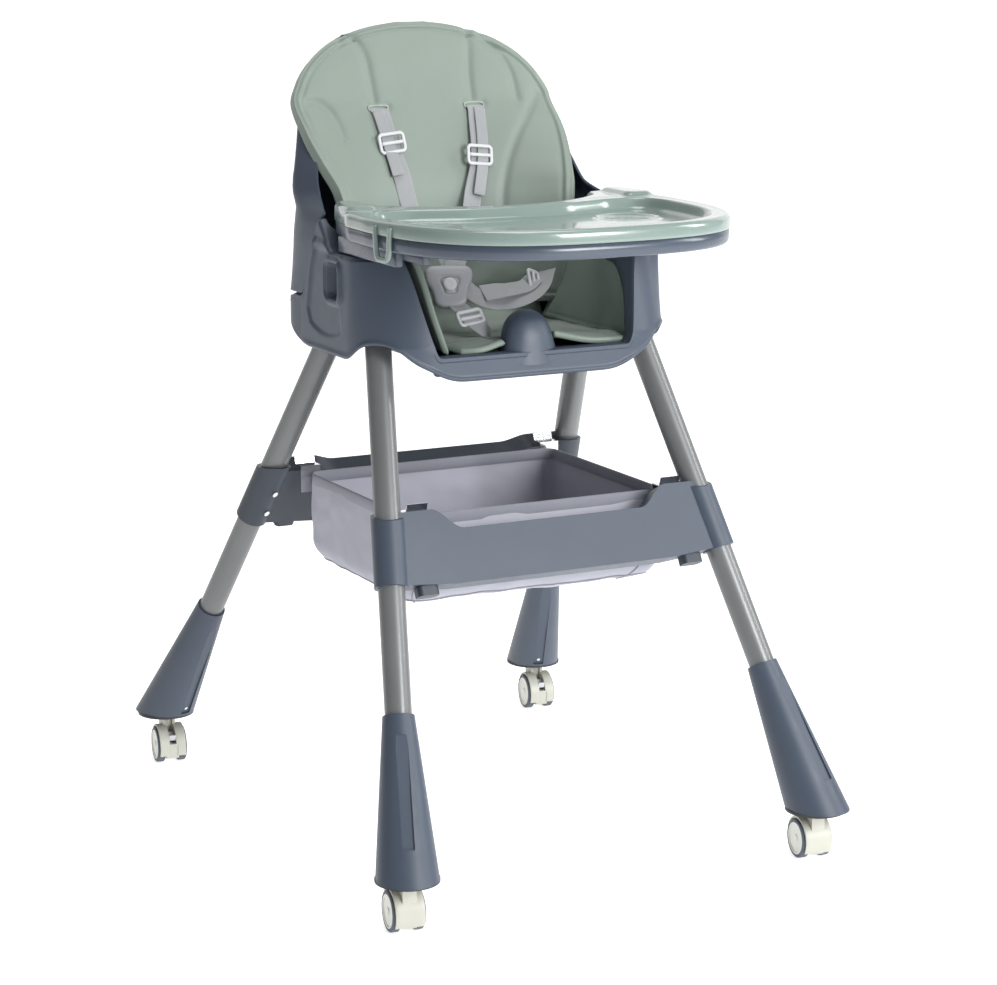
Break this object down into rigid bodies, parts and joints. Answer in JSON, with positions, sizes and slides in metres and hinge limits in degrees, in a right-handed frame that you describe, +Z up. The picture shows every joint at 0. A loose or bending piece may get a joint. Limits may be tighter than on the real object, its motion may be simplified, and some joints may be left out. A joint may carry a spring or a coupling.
{
  "type": "high_chair",
  "caption": "Baby high chair on four tapered feet with swivel casters: bucket seat with reclining padded back, five-point harness, sliding tray, cloth basket between the legs.",
  "frame": {"origin": "centre of the footprint box at floor level", "axes": "+Z up; -Y is the front, where the tray is; +X is the right-hand side when looking from the front towards the back"},
  "size_m": [0.6667, 0.8719, 1.033],
  "materials": {
    "shell_plastic": "moulded, fine satin grain",
    "tray_plastic": "polished",
    "leatherette": "fine-grain coated cloth",
    "tube_paint": "satin silver-grey paint",
    "webbing": "woven polyester webbing",
    "basket_cloth": "plain-weave polyester",
    "pale_plastic": "satin",
    "grey_plastic": "satin",
    "dark_plastic": "satin",
    "tread": "soft plastic tread",
    "steel": "bright plated"
  },
  "bodies": {
    "chair": {"seat_shell": "shell_plastic", "recline_pins": "steel", "seat_cushion": "leatherette", "waist_strap_left": "webbing", "waist_strap_right": "webbing", "crotch_strap": "webbing", "crotch_slider": "pale_plastic", "harness_buckle": "grey_plastic", "upper_tube_fl": "tube_paint", "upper_tube_fr": "tube_paint", "upper_tube_rl": "tube_paint", "upper_tube_rr": "tube_paint", "lower_tube_fl": "tube_paint", "lower_tube_fr": "tube_paint", "lower_tube_rl": "tube_paint", "lower_tube_rr": "tube_paint", "front_crossbar": "shell_plastic", "rear_crossbar": "shell_plastic", "crossbar_plugs": "shell_plastic", "frame_screws": "steel", "foot_shell_fl": "shell_plastic", "foot_shell_fr": "shell_plastic", "foot_shell_rl": "shell_plastic", "foot_shell_rr": "shell_plastic", "foot_base_fl": "dark_plastic", "foot_base_fr": "dark_plastic", "foot_base_rl": "dark_plastic", "foot_base_rr": "dark_plastic", "basket": "basket_cloth", "basket_clips": "steel"},
    "back": {"back_shell": "shell_plastic", "back_cushion": "leatherette", "shoulder_strap_left": "webbing", "shoulder_strap_right": "webbing", "strap_sliders": "pale_plastic"},
    "button_left": {"side_button_left": "shell_plastic"},
    "button_right": {"side_button_right": "shell_plastic"},
    "buckle_release": {"buckle_button": "grey_plastic"},
    "tray": {"tray_base": "shell_plastic"},
    "tray_cover": {"tray_top": "tray_plastic"},
    "caster_fl": {"caster_hood_fl": "pale_plastic"},
    "wheels_fl": {"axle_fl": "steel", "wheel_hubs_fl": "pale_plastic", "tyres_fl": "tread"},
    "lever_fl": {"brake_lever_fl": "pale_plastic"},
    "caster_fr": {"caster_hood_fr": "pale_plastic"},
    "wheels_fr": {"axle_fr": "steel", "wheel_hubs_fr": "pale_plastic", "tyres_fr": "tread"},
    "lever_fr": {"brake_lever_fr": "pale_plastic"},
    "caster_rl": {"caster_hood_rl": "pale_plastic"},
    "wheels_rl": {"axle_rl": "steel", "wheel_hubs_rl": "pale_plastic", "tyres_rl": "tread"},
    "lever_rl": {"brake_lever_rl": "pale_plastic"},
    "caster_rr": {"caster_hood_rr": "pale_plastic"},
    "wheels_rr": {"axle_rr": "steel", "wheel_hubs_rr": "pale_plastic", "tyres_rr": "tread"},
    "lever_rr": {"brake_lever_rr": "pale_plastic"}
  },
  "joints": [
    {"name": "recline", "type": "hinge", "parent": "chair", "child": "back", "pos_m": [0, 0.078, 0.717], "axis": [-1, 0, 0], "range_deg": [0, 15]},
    {"name": "button_left", "type": "slide", "parent": "chair", "child": "button_left", "axis": [1, 0, 0], "range_m": [0, 0.004], "stiffness_N_per_m": 400},
    {"name": "button_right", "type": "slide", "parent": "chair", "child": "button_right", "axis": [-1, 0, 0], "range_m": [0, 0.004], "stiffness_N_per_m": 400},
    {"name": "buckle_press", "type": "slide", "parent": "chair", "child": "buckle_release", "axis": [0, 1, 0], "range_m": [0, 0.0025], "stiffness_N_per_m": 400},
    {"name": "tray_slide", "type": "slide", "parent": "chair", "child": "tray", "axis": [0, -1, 0], "range_m": [0, 0.08]},
    {"name": "tray_lift", "type": "slide", "parent": "tray", "child": "tray_cover", "axis": [0, 0, 1], "range_m": [0, 0.06]},
    {"name": "swivel_fl", "type": "hinge", "parent": "chair", "child": "caster_fl", "pos_m": [-0.28553, -0.39104, 0.03], "axis": [0, 0, 1], "continuous": true},
    {"name": "roll_fl", "type": "hinge", "parent": "caster_fl", "child": "wheels_fl", "pos_m": [-0.28344, -0.37618, 0.025], "axis": [0.9903, -0.1392, 0], "continuous": true},
    {"name": "brake_fl", "type": "hinge", "parent": "caster_fl", "child": "lever_fl", "pos_m": [-0.28247, -0.36925, 0.04], "axis": [-0.9903, 0.1392, 0], "range_deg": [0, 12]},
    {"name": "swivel_fr", "type": "hinge", "parent": "chair", "child": "caster_fr", "pos_m": [0.28553, -0.39104, 0.03], "axis": [0, 0, 1], "continuous": true},
    {"name": "roll_fr", "type": "hinge", "parent": "caster_fr", "child": "wheels_fr", "pos_m": [0.28762, -0.37618, 0.025], "axis": [0.9903, -0.1392, 0], "continuous": true},
    {"name": "brake_fr", "type": "hinge", "parent": "caster_fr", "child": "lever_fr", "pos_m": [0.28859, -0.36925, 0.04], "axis": [-0.9903, 0.1392, 0], "range_deg": [0, 12]},
    {"name": "swivel_rl", "type": "hinge", "parent": "chair", "child": "caster_rl", "pos_m": [-0.29381, 0.38911, 0.03], "axis": [0, 0, 1], "continuous": true},
    {"name": "roll_rl", "type": "hinge", "parent": "caster_rl", "child": "wheels_rl", "pos_m": [-0.29589, 0.37426, 0.025], "axis": [-0.9903, 0.1392, 0], "continuous": true},
    {"name": "brake_rl", "type": "hinge", "parent": "caster_rl", "child": "lever_rl", "pos_m": [-0.29687, 0.36733, 0.04], "axis": [0.9903, -0.1392, 0], "range_deg": [0, 12]},
    {"name": "swivel_rr", "type": "hinge", "parent": "chair", "child": "caster_rr", "pos_m": [0.29381, 0.38911, 0.03], "axis": [0, 0, 1], "continuous": true},
    {"name": "roll_rr", "type": "hinge", "parent": "caster_rr", "child": "wheels_rr", "pos_m": [0.29172, 0.37426, 0.025], "axis": [-0.9903, 0.1392, 0], "continuous": true},
    {"name": "brake_rr", "type": "hinge", "parent": "caster_rr", "child": "lever_rr", "pos_m": [0.29074, 0.36733, 0.04], "axis": [0.9903, -0.1392, 0], "range_deg": [0, 12]}
  ]
}
